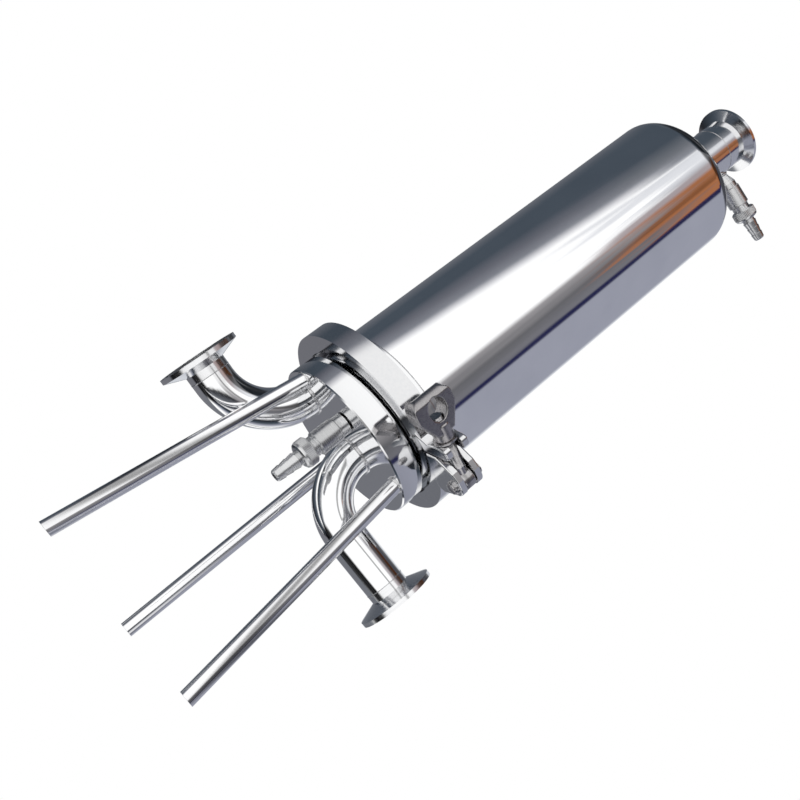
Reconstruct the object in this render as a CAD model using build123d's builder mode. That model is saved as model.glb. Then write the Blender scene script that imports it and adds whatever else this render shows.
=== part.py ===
from build123d import *
import math
import os

os.makedirs("parts", exist_ok=True)

# Sanitary cartridge filter, standing on three rods. Millimetres, +Z up.
# The origin is on the vessel's axis, in the plane that the feet stand on.
# +X is the outlet side, -X the inlet side.

# Driving dimensions
leg_height = 163.0            # floor to the underside of the base
shell_od = 101.6              # vessel barrel
shell_wall = 2.0
barrel_length = 272.0         # weld neck to the dome's tangent line
taper_deg = 20.0              # every clamped flange has this flank angle
pipe_od = 25.4                # inlet and outlet
pipe_wall = 1.5
port_flange_od = 50.5         # the three open ports
port_rim = 2.85
port_hub_length = 12.7
tiny = 0.02                   # clearance of sealed faces
run_fit = 0.05                # radial clearance of turning fits
weld_fit = 0.05               # radial clearance of set-in joints

# Clamped flanges and the clamp round them
flange_r = 59.5
clamp_groove_r = flange_r + 0.5
clamp_lip_r = flange_r - 5.5
clamp_r = clamp_groove_r + 5.8

# Base plate
base_r = clamp_lip_r - 0.5
neck_groove_r = base_r - 4.0
base_band = 15.3
neck_groove_top = 19.4
flange_rim = 2.85
boss_height = 8.0
socket_r = 22.2
boss_r = socket_r + 3.1
socket_depth = 28.0
inlet_x = -37.0
outlet_x = 10.0
pipe_r = pipe_od / 2
pipe_bore_r = pipe_r - pipe_wall
drain_x = -9.0
drain_y = -28.0
drain_passage_r = 3.0

base_z = leg_height
taper = math.tan(math.radians(taper_deg))
base_flank_top = neck_groove_top + (flange_r - neck_groove_r) * taper
base_top = base_flank_top + flange_rim

# Gasket and bell flange
gasket_thick = 1.0
bead_ring_r = flange_r - 5.5
bead_r = 1.5
shell_r = shell_od / 2
shell_bore_r = shell_r - shell_wall
bell_neck_height = 15.3       # bell flange face to the end of its weld neck
clamp_mid = base_top + gasket_thick / 2
bell_z = base_z + base_top + gasket_thick
bell_flank_top = flange_rim + (flange_r - shell_r) * taper
shell_z = bell_z + bell_neck_height
tangent_z = shell_z + barrel_length
dome_height = shell_od / 4    # a two-to-one elliptical head

# Top port
top_neck_r = 18.0
top_neck_wall = 1.5
top_over_barrel = 119.0       # base and barrel together, up to the port's face
top_face_z = base_z + barrel_length + top_over_barrel
top_ferrule_length = 21.5

# Relief and drain valves, along their own axis
valve_body_r = 7.7
valve_shoulder_r = 6.9
valve_shoulder_length = 6.5
valve_body_length = 22.0
valve_nipple_r = 4.0
valve_gap = 4.0
thread_r = 6.2
thread_depth = 6.5            # counterbore that takes the threaded shoulder
grip_r = 8.65
grip_length = 8.5
barb_length = 18.0
barb_r = 5.15
barb_tip_r = 4.0
spindle_r = 4.1
seat_bore_r = 2.5
seat_depth = 6.0
valve_lift = 3.0
vent_over_barrel = 94.0
vent_height = base_z + barrel_length + vent_over_barrel
vent_angle = 7.5
vent_standoff = 5.0

# Elbows
inlet_angle = 192.0
inlet_bend_r = 39.1
inlet_straight = 14.5         # end of the bend to the back of the port's rim
outlet_angle = 0.0
outlet_bend_r = 34.6
outlet_straight = 47.0
root_straight = 1.0
weld_bead = 1.2

# Legs
leg_r = 5.0
leg_circle_r = 47.4
leg_splay = 6.65
leg_angles = {"leg_left": 204.0, "leg_right": 324.0, "leg_back": 84.0}

# Clamp
clamp_half_width = 7.4
clamp_clearance = 0.3         # axial, between the groove and a flange flank
split_angle = -58.0
split_gap = 2.0
bolt_circle_r = flange_r + 18.9
bolt_r = 4.0
slot_half = bolt_r + 0.3
ear_half_width = slot_half + 4.2
ear_edge_r = 1.0
pivot_b = 20.8                # pivot's distance from the split
pivot_pin_r = 3.0
bolt_eye_r = bolt_r + 2.5
pivot_end_r = bolt_eye_r + 0.5
seat_r = 29.8                 # seat's radius about the pivot
bolt_reach = 46.5
hinge_circle_r = clamp_r + 7.2
hinge_knuckle_r = 6.0
hinge_pin_r = 2.5
hinge_mid_half = 3.4
washer_thick = 1.0
washer_r = bolt_r + 3.5

# Cartridge
cartridge_length = 254.0
cap_r = 34.5
cap_height = 12.0
spigot_r = socket_r - 0.2
spigot_length = 20.0
spigot_bore_r = 15.0
core_r = 17.0
core_wall = 2.0
cage_r = 34.0
cage_wall = 1.8
pleat_count = 48
pleat_inner_r = 18.0
pleat_outer_r = 31.6
pleat_thick = 0.7
fin_height = 35.0


def flat_ring(outer, inner, z_low, z_high):
    """Points of a rectangular ring section, radius first."""
    return [(inner, z_low), (outer, z_low), (outer, z_high), (inner, z_high)]


def polar(radius, angle, height):
    """A point from its radius, its angle in degrees and its height."""
    turn = math.radians(angle)
    return (radius * math.cos(turn), radius * math.sin(turn), height)


# Base plate: one turned piece with the cartridge's socket in its boss
with BuildPart() as base_plate:
    with BuildSketch(Plane.XZ) as base_section:
        with BuildLine():
            Polyline(
                (0, base_z),
                (base_r, base_z),
                (base_r, base_z + base_band),
                (neck_groove_r, base_z + base_band),
                (neck_groove_r, base_z + neck_groove_top),
                (flange_r, base_z + base_flank_top),
                (flange_r, base_z + base_top),
                (boss_r, base_z + base_top),
                (boss_r, base_z + base_top + boss_height),
                (0, base_z + base_top + boss_height),
                close=True,
            )
        make_face()
    revolve(axis=Axis.Z)
    boss_top_z = base_z + base_top + boss_height
    with BuildSketch(Plane.XY.offset(boss_top_z)):
        Circle(socket_r)
    extrude(amount=-socket_depth, mode=Mode.SUBTRACT)
    socket_rim = base_plate.edges().filter_by(GeomType.CIRCLE).group_by(Axis.Z)[-1]
    chamfer(socket_rim.sort_by(SortBy.RADIUS)[0], length=1.2)
    with BuildSketch(Plane.XY.offset(base_z)):
        with Locations((inlet_x, 0), (outlet_x, 0)):
            Circle(pipe_bore_r)
        with Locations((drain_x, drain_y)):
            Circle(drain_passage_r)
    extrude(amount=base_top + boss_height, mode=Mode.SUBTRACT)
    with BuildSketch(Plane.XY.offset(base_z)):
        with Locations((drain_x, drain_y)):
            Circle(valve_nipple_r + weld_fit)
    extrude(amount=vent_standoff + run_fit, mode=Mode.SUBTRACT)
    with BuildSketch(Plane.XZ):
        with Locations((bead_ring_r, base_z + base_top)):
            Circle(bead_r + tiny)
    revolve(axis=Axis.Z, mode=Mode.SUBTRACT)
    band_rims = base_plate.edges().filter_by(GeomType.CIRCLE).group_by(Axis.Z)
    chamfer(band_rims[0].sort_by(SortBy.RADIUS)[-1], length=0.8)
base_plate.part.label = "base_plate"
export_step(base_plate.part, "parts/base_plate.step")


# Gasket between the flanges, with a bead that centres it in both
with BuildPart() as gasket:
    with BuildSketch(Plane.XZ):
        with BuildLine():
            gasket_low = base_z + base_top
            ring = flat_ring(flange_r - 0.2, shell_bore_r, gasket_low, bell_z)
            Polyline(*ring, close=True)
        make_face()
        with Locations((bead_ring_r, base_z + clamp_mid)):
            Circle(bead_r)
    revolve(axis=Axis.Z)
gasket.part.label = "gasket"
export_step(gasket.part, "parts/gasket.step")


# Bell flange with its weld neck
with BuildPart() as bell_flange:
    with BuildSketch(Plane.XZ):
        with BuildLine():
            Polyline(
                (shell_bore_r, bell_z),
                (flange_r, bell_z),
                (flange_r, bell_z + flange_rim),
                (shell_r, bell_z + bell_flank_top),
                (shell_r, shell_z),
                (shell_bore_r, shell_z),
                close=True,
            )
        make_face()
    revolve(axis=Axis.Z)
    with BuildSketch(Plane.XZ):
        with Locations((bead_ring_r, bell_z)):
            Circle(bead_r + tiny)
    revolve(axis=Axis.Z, mode=Mode.SUBTRACT)
bell_flange.part.label = "bell_flange"
export_step(bell_flange.part, "parts/bell_flange.step")


# Bell: barrel and elliptical head in one drawn piece
with BuildPart() as bell_shell:
    with BuildSketch(Plane.XZ):
        with BuildLine():
            Polyline((0, shell_z), (shell_r, shell_z), (shell_r, tangent_z))
            EllipticalCenterArc((0, tangent_z), shell_r, dome_height, start_angle=0, arc_size=90)
            Line((0, tangent_z + dome_height), (0, shell_z))
        make_face()
        with BuildLine():
            inner_dome = dome_height - shell_wall
            Polyline((0, shell_z), (shell_bore_r, shell_z), (shell_bore_r, tangent_z))
            EllipticalCenterArc((0, tangent_z), shell_bore_r, inner_dome, start_angle=0, arc_size=90)
            Line((0, tangent_z + inner_dome), (0, shell_z))
        make_face(mode=Mode.SUBTRACT)
    revolve(axis=Axis.Z)
    with BuildSketch(Plane.XY.offset(tangent_z)):
        Circle(top_neck_r + weld_fit)
    extrude(amount=dome_height + 1, mode=Mode.SUBTRACT)
bell_shell.part.label = "bell_shell"
export_step(bell_shell.part, "parts/bell_shell.step")


# Top port: a neck set into the dome and a clamp ferrule welded on it
port_r = port_flange_od / 2
top_rim_back_z = top_face_z - port_rim
top_ferrule_z = top_face_z - top_ferrule_length
neck_bottom_share = math.sqrt(1 - (top_neck_r / shell_bore_r) ** 2)
top_neck_z = tangent_z + (dome_height - shell_wall) * neck_bottom_share - 1.0

with BuildPart() as top_neck:
    with BuildSketch(Plane.XY.offset(top_neck_z)):
        Circle(top_neck_r)
        Circle(top_neck_r - top_neck_wall, mode=Mode.SUBTRACT)
    extrude(amount=top_ferrule_z - top_neck_z)
    neck_foot_share = math.sqrt(1 - (top_neck_r / shell_r) ** 2)
    neck_foot_z = tangent_z + dome_height * neck_foot_share
    with BuildSketch(Plane.XZ):
        with BuildLine():
            bead_out = top_neck_r + weld_bead
            bead_base_z = tangent_z + dome_height * math.sqrt(1 - (bead_out / shell_r) ** 2)
            Polyline(
                (top_neck_r - 0.5, neck_foot_z + 0.1),
                (bead_out, bead_base_z + 0.1),
                (top_neck_r - 0.5, neck_foot_z + weld_bead + 0.5),
                close=True,
            )
        make_face()
    revolve(axis=Axis.Z)
    vent_axis = Plane(
        origin=(0, 0, vent_height),
        x_dir=(0, 0, 1),
        z_dir=polar(1, vent_angle, 0),
    )
    with BuildSketch(vent_axis):
        Circle(valve_nipple_r + weld_fit)
    extrude(amount=top_neck_r + 2, mode=Mode.SUBTRACT)
top_neck.part.label = "top_neck"
export_step(top_neck.part, "parts/top_neck.step")

with BuildPart() as top_ferrule:
    with BuildSketch(Plane.XZ):
        with BuildLine():
            top_flank_low = top_rim_back_z - (port_r - top_neck_r) * taper
            Polyline(
                (top_neck_r - top_neck_wall, top_ferrule_z),
                (top_neck_r, top_ferrule_z),
                (top_neck_r, top_flank_low),
                (port_r, top_rim_back_z),
                (port_r, top_face_z),
                (top_neck_r - top_neck_wall, top_face_z),
                close=True,
            )
        make_face()
        with Locations((port_r - 3.5, top_face_z)):
            Circle(bead_r, mode=Mode.SUBTRACT)
    revolve(axis=Axis.Z)
    top_rims = top_ferrule.edges().filter_by(GeomType.CIRCLE).group_by(Axis.Z)[-1]
    chamfer(top_rims.sort_by(SortBy.RADIUS)[-1], length=0.4)
top_ferrule.part.label = "top_ferrule"
export_step(top_ferrule.part, "parts/top_ferrule.step")


# Inlet and outlet: a swept elbow and a clamp ferrule on its end
def port_run(root_x, bend_r, straight, angle):
    """The centre points of an elbow's run, from the base outward."""
    out_x, out_y, _ = polar(1, angle, 0)
    bend_z = base_z - root_straight
    drop_z = bend_z - bend_r
    run = straight + port_rim - port_hub_length
    start = (root_x, 0, base_z)
    bend_start = (root_x, 0, bend_z)
    middle = bend_r * (1 - math.cos(math.radians(45)))
    sink = bend_r * math.sin(math.radians(45))
    bend_middle = (root_x + out_x * middle, out_y * middle, bend_z - sink)
    bend_end = (root_x + out_x * bend_r, out_y * bend_r, drop_z)
    far = bend_r + run
    tube_end = (root_x + out_x * far, out_y * far, drop_z)
    return start, bend_start, bend_middle, bend_end, tube_end


inlet_run = port_run(inlet_x, inlet_bend_r, inlet_straight, inlet_angle)
outlet_run = port_run(outlet_x, outlet_bend_r, outlet_straight, outlet_angle)

with BuildPart() as inlet_elbow:
    with BuildLine():
        Line(inlet_run[0], inlet_run[1])
        ThreePointArc(inlet_run[1], inlet_run[2], inlet_run[3])
        Line(inlet_run[3], inlet_run[4])
    with BuildSketch(Plane(origin=inlet_run[0], x_dir=(1, 0, 0), z_dir=(0, 0, -1))):
        Circle(pipe_r)
        Circle(pipe_bore_r, mode=Mode.SUBTRACT)
    sweep()
    with BuildSketch(Plane(origin=inlet_run[0], x_dir=(1, 0, 0), z_dir=(0, -1, 0))):
        with BuildLine():
            Polyline(
                (pipe_r - 0.5, 0),
                (pipe_r + weld_bead, 0),
                (pipe_r - 0.5, -weld_bead - 0.5),
                close=True,
            )
        make_face()
    revolve(axis=Axis(inlet_run[0], (0, 0, 1)))
inlet_elbow.part.label = "inlet_elbow"
export_step(inlet_elbow.part, "parts/inlet_elbow.step")

with BuildPart() as outlet_elbow:
    with BuildLine():
        Line(outlet_run[0], outlet_run[1])
        ThreePointArc(outlet_run[1], outlet_run[2], outlet_run[3])
        Line(outlet_run[3], outlet_run[4])
    with BuildSketch(Plane(origin=outlet_run[0], x_dir=(1, 0, 0), z_dir=(0, 0, -1))):
        Circle(pipe_r)
        Circle(pipe_bore_r, mode=Mode.SUBTRACT)
    sweep()
    with BuildSketch(Plane(origin=outlet_run[0], x_dir=(1, 0, 0), z_dir=(0, -1, 0))):
        with BuildLine():
            Polyline(
                (pipe_r - 0.5, 0),
                (pipe_r + weld_bead, 0),
                (pipe_r - 0.5, -weld_bead - 0.5),
                close=True,
            )
        make_face()
    revolve(axis=Axis(outlet_run[0], (0, 0, 1)))
outlet_elbow.part.label = "outlet_elbow"
export_step(outlet_elbow.part, "parts/outlet_elbow.step")

port_flank = (port_r - pipe_r) * taper
port_section = [
    (pipe_bore_r, 0),
    (pipe_r, 0),
    (pipe_r, port_hub_length - port_rim - port_flank),
    (port_r, port_hub_length - port_rim),
    (port_r, port_hub_length),
    (pipe_bore_r, port_hub_length),
]

with BuildPart() as inlet_ferrule:
    inlet_out = polar(1, inlet_angle, 0)
    inlet_side = polar(1, inlet_angle + 90, 0)
    inlet_end = Plane(origin=inlet_run[4], x_dir=(0, 0, 1), z_dir=inlet_side)
    with BuildSketch(inlet_end):
        with BuildLine():
            Polyline(*port_section, close=True)
        make_face()
        with Locations((port_r - 3.5, port_hub_length)):
            Circle(bead_r, mode=Mode.SUBTRACT)
    revolve(axis=Axis(inlet_run[4], inlet_out))
inlet_ferrule.part.label = "inlet_ferrule"
export_step(inlet_ferrule.part, "parts/inlet_ferrule.step")

with BuildPart() as outlet_ferrule:
    outlet_out = polar(1, outlet_angle, 0)
    outlet_side = polar(1, outlet_angle + 90, 0)
    outlet_end = Plane(origin=outlet_run[4], x_dir=(0, 0, 1), z_dir=outlet_side)
    with BuildSketch(outlet_end):
        with BuildLine():
            Polyline(*port_section, close=True)
        make_face()
        with Locations((port_r - 3.5, port_hub_length)):
            Circle(bead_r, mode=Mode.SUBTRACT)
    revolve(axis=Axis(outlet_run[4], outlet_out))
outlet_ferrule.part.label = "outlet_ferrule"
export_step(outlet_ferrule.part, "parts/outlet_ferrule.step")


# Legs: three splayed rods, each cut level at the base and at the floor
for leg_name, leg_angle in leg_angles.items():
    lean = math.radians(leg_splay)
    leg_root = polar(leg_circle_r, leg_angle, base_z)
    leg_down = polar(math.sin(lean), leg_angle, -math.cos(lean))
    leg_plane = Plane(origin=leg_root, x_dir=polar(1, leg_angle + 90, 0), z_dir=leg_down)
    with BuildPart() as leg:
        with BuildSketch(leg_plane):
            Circle(leg_r)
        extrude(amount=leg_height / math.cos(lean) + 2 * leg_r)
        with BuildSketch(leg_plane):
            Circle(leg_r)
        extrude(amount=-2 * leg_r)
        with BuildSketch(leg_plane.offset(-1)):
            Circle(leg_r + weld_bead)
        extrude(amount=weld_bead + 1.2, taper=30)
        with BuildSketch(Plane.XY):
            Circle(leg_circle_r + leg_height)
        extrude(amount=leg_height, mode=Mode.INTERSECT)
    leg.part.label = leg_name
    export_step(leg.part, "parts/" + leg_name + ".step")


# Valves: the same three pieces hang under the base and stand off the top neck
drain_plane = Plane(
    origin=(drain_x, drain_y, base_z),
    x_dir=(1, 0, 0),
    z_dir=(0, 0, -1),
)
vent_plane = Plane(
    origin=polar(top_neck_r + vent_standoff, vent_angle, vent_height),
    x_dir=(0, 0, 1),
    z_dir=polar(1, vent_angle, 0),
)
spindle_bore_r = spindle_r + run_fit
thread_z = valve_body_length - thread_depth
seal_z = thread_z - 4.1
seal_half = 0.9
seal_inner_r = spindle_r - 1.0
grip_z = valve_body_length + valve_gap
barb_z = grip_z + grip_length
valve_tip_z = barb_z + barb_length
valve_places = {"drain": (drain_plane, 0.0, 0.8), "vent": (vent_plane, -4.2, 3.0)}

for valve_name, (valve_plane, cone_low, cone_high) in valve_places.items():
    valve_axis = Axis(valve_plane.origin, valve_plane.z_dir)
    section_plane = Plane(
        origin=valve_plane.origin,
        x_dir=valve_plane.x_dir,
        z_dir=valve_plane.x_dir.cross(valve_plane.z_dir),
    )
    with BuildPart() as valve_body:
        with BuildSketch(section_plane):
            with BuildLine():
                Polyline(
                    (seat_bore_r, -vent_standoff),
                    (valve_nipple_r, -vent_standoff),
                    (valve_nipple_r, cone_low),
                    (valve_shoulder_r, cone_high),
                    (valve_shoulder_r, valve_shoulder_length),
                    (valve_body_r, valve_shoulder_length + 0.8),
                    (valve_body_r, valve_body_length - 0.6),
                    (valve_body_r - 0.6, valve_body_length),
                    (thread_r + run_fit, valve_body_length),
                    (thread_r + run_fit, thread_z),
                    (spindle_bore_r, thread_z),
                    (spindle_bore_r, seat_depth + spindle_bore_r - seat_bore_r),
                    (seat_bore_r, seat_depth),
                    close=True,
                )
            make_face()
        revolve(axis=valve_axis)
    valve_body.part.label = valve_name + "_body"
    export_step(valve_body.part, "parts/" + valve_name + "_body.step")

    with BuildPart() as valve_seal:
        with BuildSketch(section_plane):
            seal_middle_r = (seal_inner_r + spindle_r) / 2
            with Locations((seal_middle_r, seal_z)):
                Rectangle(spindle_r - seal_inner_r - tiny, 2 * seal_half)
            fillet(vertices(), radius=0.35)
        revolve(axis=valve_axis)
    valve_seal.part.label = valve_name + "_seal"
    export_step(valve_seal.part, "parts/" + valve_name + "_seal.step")

    with BuildPart() as valve_stem:
        with BuildSketch(section_plane):
            with BuildLine():
                neck_r = spindle_r - 0.7
                groove_low = seal_z - seal_half - run_fit
                groove_high = seal_z + seal_half + run_fit
                groove_r = seal_inner_r - run_fit
                barb_start = barb_z + 2.5
                barb_step = (valve_tip_z - barb_start) / 3
                barb_drop = (barb_r - barb_tip_r) / 3
                Polyline(
                    (0, seat_depth - 1.5),
                    (seat_bore_r - 1.2, seat_depth - 1.5),
                    (seat_bore_r - 0.1, seat_depth),
                    (neck_r, seat_depth + neck_r - seat_bore_r + 0.1),
                    (neck_r, groove_low - 1.2),
                    (spindle_r, groove_low - 0.6),
                    (spindle_r, groove_low),
                    (groove_r, groove_low),
                    (groove_r, groove_high),
                    (spindle_r, groove_high),
                    (spindle_r, thread_z + 0.5),
                    (thread_r - 0.8, thread_z + 0.5),
                    (thread_r, thread_z + 1.3),
                    (thread_r, grip_z),
                    (grip_r - 0.7, grip_z),
                    (grip_r, grip_z + 0.7),
                    (grip_r, barb_z - 2.2),
                    (grip_r - 0.5, barb_z - 1.0),
                    (grip_r - 1.8, barb_z - 0.2),
                    (barb_r - 0.5, barb_z),
                    (barb_r - 0.5, barb_start),
                    (barb_r, barb_start),
                    (barb_r - barb_drop - 0.45, barb_start + barb_step),
                    (barb_r - barb_drop, barb_start + barb_step),
                    (barb_r - 2 * barb_drop - 0.45, barb_start + 2 * barb_step),
                    (barb_r - 2 * barb_drop, barb_start + 2 * barb_step),
                    (barb_tip_r - 0.1, valve_tip_z - 0.8),
                    (barb_tip_r - 0.8, valve_tip_z),
                    (0, valve_tip_z),
                    close=True,
                )
            make_face()
        revolve(axis=valve_axis)
        with BuildSketch(valve_plane.offset(valve_tip_z)):
            Circle(1.9)
        extrude(amount=-(valve_tip_z - seat_depth - 4), mode=Mode.SUBTRACT)
        cross_plane = Plane(
            origin=valve_plane.from_local_coords((0, 0, seat_depth + 2.2)),
            z_dir=valve_plane.x_dir,
        )
        with BuildSketch(cross_plane):
            Circle(0.8)
        extrude(amount=spindle_r + 1, both=True, mode=Mode.SUBTRACT)
    valve_stem.part.label = valve_name + "_stem"
    export_step(valve_stem.part, "parts/" + valve_name + "_stem.step")


# Clamp: two halves hinged on the far side, drawn together by a swing bolt
clamp_z = base_z + clamp_mid
groove_half = gasket_thick / 2 + flange_rim + clamp_clearance
lip_half = groove_half + (clamp_groove_r - clamp_lip_r) * taper
hinge_angle = split_angle + 180
clamp_section = [
    (clamp_r, -clamp_half_width),
    (clamp_r, clamp_half_width),
    (clamp_lip_r, clamp_half_width),
    (clamp_lip_r, lip_half),
    (clamp_groove_r, groove_half),
    (clamp_groove_r, -groove_half),
    (clamp_lip_r, -lip_half),
    (clamp_lip_r, -clamp_half_width),
]
ring_plane = Plane(
    origin=(0, 0, clamp_z),
    x_dir=polar(1, split_angle, 0),
    z_dir=polar(1, split_angle - 90, 0),
)
ear_plane = Plane(
    origin=polar(bolt_circle_r, split_angle, clamp_z),
    x_dir=polar(1, split_angle, 0),
    z_dir=(0, 0, 1),
)
hinge_plane = Plane(
    origin=polar(hinge_circle_r, hinge_angle, clamp_z),
    x_dir=polar(1, hinge_angle, 0),
    z_dir=(0, 0, 1),
)
root_u = -(bolt_circle_r - clamp_r) - 2.5
half_gap = split_gap / 2
ring_reach = clamp_r + 3

with BuildPart() as clamp_half_pivot:
    with BuildSketch(ring_plane):
        with BuildLine():
            Polyline(*clamp_section, close=True)
        make_face()
    revolve(axis=Axis.Z)
    with BuildSketch(ear_plane):
        with Locations((-bolt_circle_r, half_gap + ring_reach / 2)):
            Rectangle(2 * ring_reach, ring_reach)
    extrude(amount=clamp_half_width, both=True, mode=Mode.INTERSECT)
    with BuildSketch(ear_plane):
        with BuildLine():
            end_b = pivot_b + pivot_end_r
            Polyline(
                (root_u, half_gap),
                (-pivot_end_r, half_gap),
                (pivot_end_r - 2.5, pivot_b - pivot_end_r - 3.5),
                (pivot_end_r, pivot_b - pivot_end_r + 2),
                (pivot_end_r, pivot_b),
            )
            CenterArc((0, pivot_b), pivot_end_r, 0, 90)
            Polyline(
                (0, end_b),
                (root_u + 1, end_b + 3),
                (root_u - 4.5, end_b),
                (root_u, half_gap),
            )
        make_face()
    extrude(amount=ear_half_width, both=True)
    ear_rims = clamp_half_pivot.edges().group_by(Axis.Z)
    fillet(ear_rims[0] + ear_rims[-1], radius=ear_edge_r)
    with BuildSketch(ear_plane):
        slot_floor_u = -bolt_eye_r - 2.0
        with Locations(((slot_floor_u + 20) / 2, pivot_b)):
            Rectangle(20 - slot_floor_u, 4 * pivot_b)
    extrude(amount=slot_half, both=True, mode=Mode.SUBTRACT)
    with BuildSketch(ear_plane):
        with Locations((0, pivot_b)):
            Circle(pivot_pin_r + weld_fit)
    extrude(amount=ear_half_width + 1, both=True, mode=Mode.SUBTRACT)
    with BuildSketch(hinge_plane):
        Circle(hinge_knuckle_r)
        with BuildLine():
            Polyline(
                (0, -hinge_knuckle_r),
                (0, hinge_knuckle_r - 2),
                (-hinge_knuckle_r, -half_gap),
                (clamp_r - hinge_circle_r - 2.5, -half_gap),
                (clamp_r - hinge_circle_r - 4.5, -2.6 * hinge_knuckle_r),
                close=True,
            )
        make_face()
        Circle(hinge_pin_r + weld_fit, mode=Mode.SUBTRACT)
    extrude(amount=clamp_half_width, both=True)
    with BuildSketch(hinge_plane):
        knuckle_room = hinge_knuckle_r + 0.5
        Circle(knuckle_room)
        with Locations((knuckle_room / 2 - 1, 0)):
            Rectangle(knuckle_room + 2, 2 * knuckle_room + 12)
    extrude(amount=hinge_mid_half + 0.2, both=True, mode=Mode.SUBTRACT)
clamp_half_pivot.part.label = "clamp_half_pivot"
export_step(clamp_half_pivot.part, "parts/clamp_half_pivot.step")

with BuildPart() as clamp_half_fork:
    with BuildSketch(ring_plane):
        with BuildLine():
            Polyline(*clamp_section, close=True)
        make_face()
    revolve(axis=Axis.Z)
    with BuildSketch(ear_plane):
        with Locations((-bolt_circle_r, -half_gap - ring_reach / 2)):
            Rectangle(2 * ring_reach, ring_reach)
    extrude(amount=clamp_half_width, both=True, mode=Mode.INTERSECT)
    with BuildSketch(ear_plane) as fork_outline:
        with BuildLine():
            seat_edge_u = ear_half_width
            seat_edge_b = pivot_b - math.sqrt(seat_r ** 2 - seat_edge_u ** 2)
            seat_mid_b = pivot_b - seat_r
            Polyline(
                (root_u, -half_gap),
                (seat_edge_u, -half_gap),
                (seat_edge_u, seat_edge_b),
            )
            ThreePointArc(
                (seat_edge_u, seat_edge_b),
                (0, seat_mid_b),
                (-seat_edge_u, seat_edge_b),
            )
            Polyline(
                (-seat_edge_u, seat_edge_b),
                (root_u + 2, seat_mid_b - 1.5),
                (root_u - 2, seat_mid_b - 5),
                (root_u, -half_gap),
            )
        make_face()
        fork_corners = fork_outline.vertices().sort_by(Axis.X)
        fillet(fork_corners[-2:], radius=2.5)
    extrude(amount=ear_half_width, both=True)
    fork_rims = clamp_half_fork.edges().group_by(Axis.Z)
    fillet(fork_rims[0] + fork_rims[-1], radius=ear_edge_r)
    with BuildSketch(ear_plane):
        fork_floor_u = -bolt_r - 0.9
        with Locations(((fork_floor_u + 20) / 2, seat_mid_b)):
            Rectangle(20 - fork_floor_u, 4 * pivot_b)
    extrude(amount=slot_half, both=True, mode=Mode.SUBTRACT)
    with BuildSketch(hinge_plane):
        Circle(hinge_knuckle_r)
        with BuildLine():
            Polyline(
                (0, hinge_knuckle_r),
                (0, -hinge_knuckle_r + 2),
                (-hinge_knuckle_r, half_gap),
                (clamp_r - hinge_circle_r - 2.5, half_gap),
                (clamp_r - hinge_circle_r - 4.5, 2.6 * hinge_knuckle_r),
                close=True,
            )
        make_face()
        Circle(hinge_pin_r + run_fit, mode=Mode.SUBTRACT)
    extrude(amount=hinge_mid_half, both=True)
clamp_half_fork.part.label = "clamp_half_fork"
export_step(clamp_half_fork.part, "parts/clamp_half_fork.step")

with BuildPart() as hinge_pin:
    with BuildSketch(hinge_plane):
        Circle(hinge_pin_r)
    extrude(amount=clamp_half_width + 0.8, both=True)
    chamfer(hinge_pin.edges().filter_by(GeomType.CIRCLE), length=0.4)
hinge_pin.part.label = "hinge_pin"
export_step(hinge_pin.part, "parts/hinge_pin.step")

pivot_plane = Plane(
    origin=ear_plane.from_local_coords((0, pivot_b, 0)),
    x_dir=ear_plane.x_dir,
    z_dir=(0, 0, 1),
)
with BuildPart() as pivot_pin:
    with BuildSketch(pivot_plane):
        Circle(pivot_pin_r)
    extrude(amount=ear_half_width, both=True)
    for side in (1, -1):
        with BuildSketch(pivot_plane.offset(side * ear_half_width)):
            Circle(pivot_pin_r + 1.6)
        extrude(amount=side * 1.5)
    head_rims = pivot_pin.edges().filter_by(GeomType.CIRCLE).group_by(Axis.Z)
    chamfer(head_rims[0] + head_rims[-1], length=0.5)
pivot_pin.part.label = "pivot_pin"
export_step(pivot_pin.part, "parts/pivot_pin.step")

# Swing bolt: a forged eye and a shank that lies in the fork
shank_plane = Plane(
    origin=pivot_plane.origin,
    x_dir=(0, 0, 1),
    z_dir=ear_plane.y_dir * -1,
)
with BuildPart() as swing_bolt:
    with BuildSketch(pivot_plane):
        Circle(bolt_eye_r)
    extrude(amount=slot_half - 0.3, both=True)
    with BuildSketch(shank_plane):
        Circle(bolt_r)
    extrude(amount=bolt_reach)
    chamfer(swing_bolt.faces().sort_by(Axis(shank_plane.origin, shank_plane.z_dir))[-1].edges(), length=0.8)
    with BuildSketch(pivot_plane):
        Circle(pivot_pin_r + run_fit)
    extrude(amount=ear_half_width, both=True, mode=Mode.SUBTRACT)
swing_bolt.part.label = "swing_bolt"
export_step(swing_bolt.part, "parts/swing_bolt.step")

# Washer and wing nut, along the bolt from the seat
seat_plane = shank_plane.offset(seat_r + run_fit)
with BuildPart() as nut_washer:
    with BuildSketch(seat_plane):
        Circle(washer_r)
        Circle(bolt_r + run_fit, mode=Mode.SUBTRACT)
    extrude(amount=washer_thick)
nut_washer.part.label = "nut_washer"
export_step(nut_washer.part, "parts/nut_washer.step")

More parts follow.
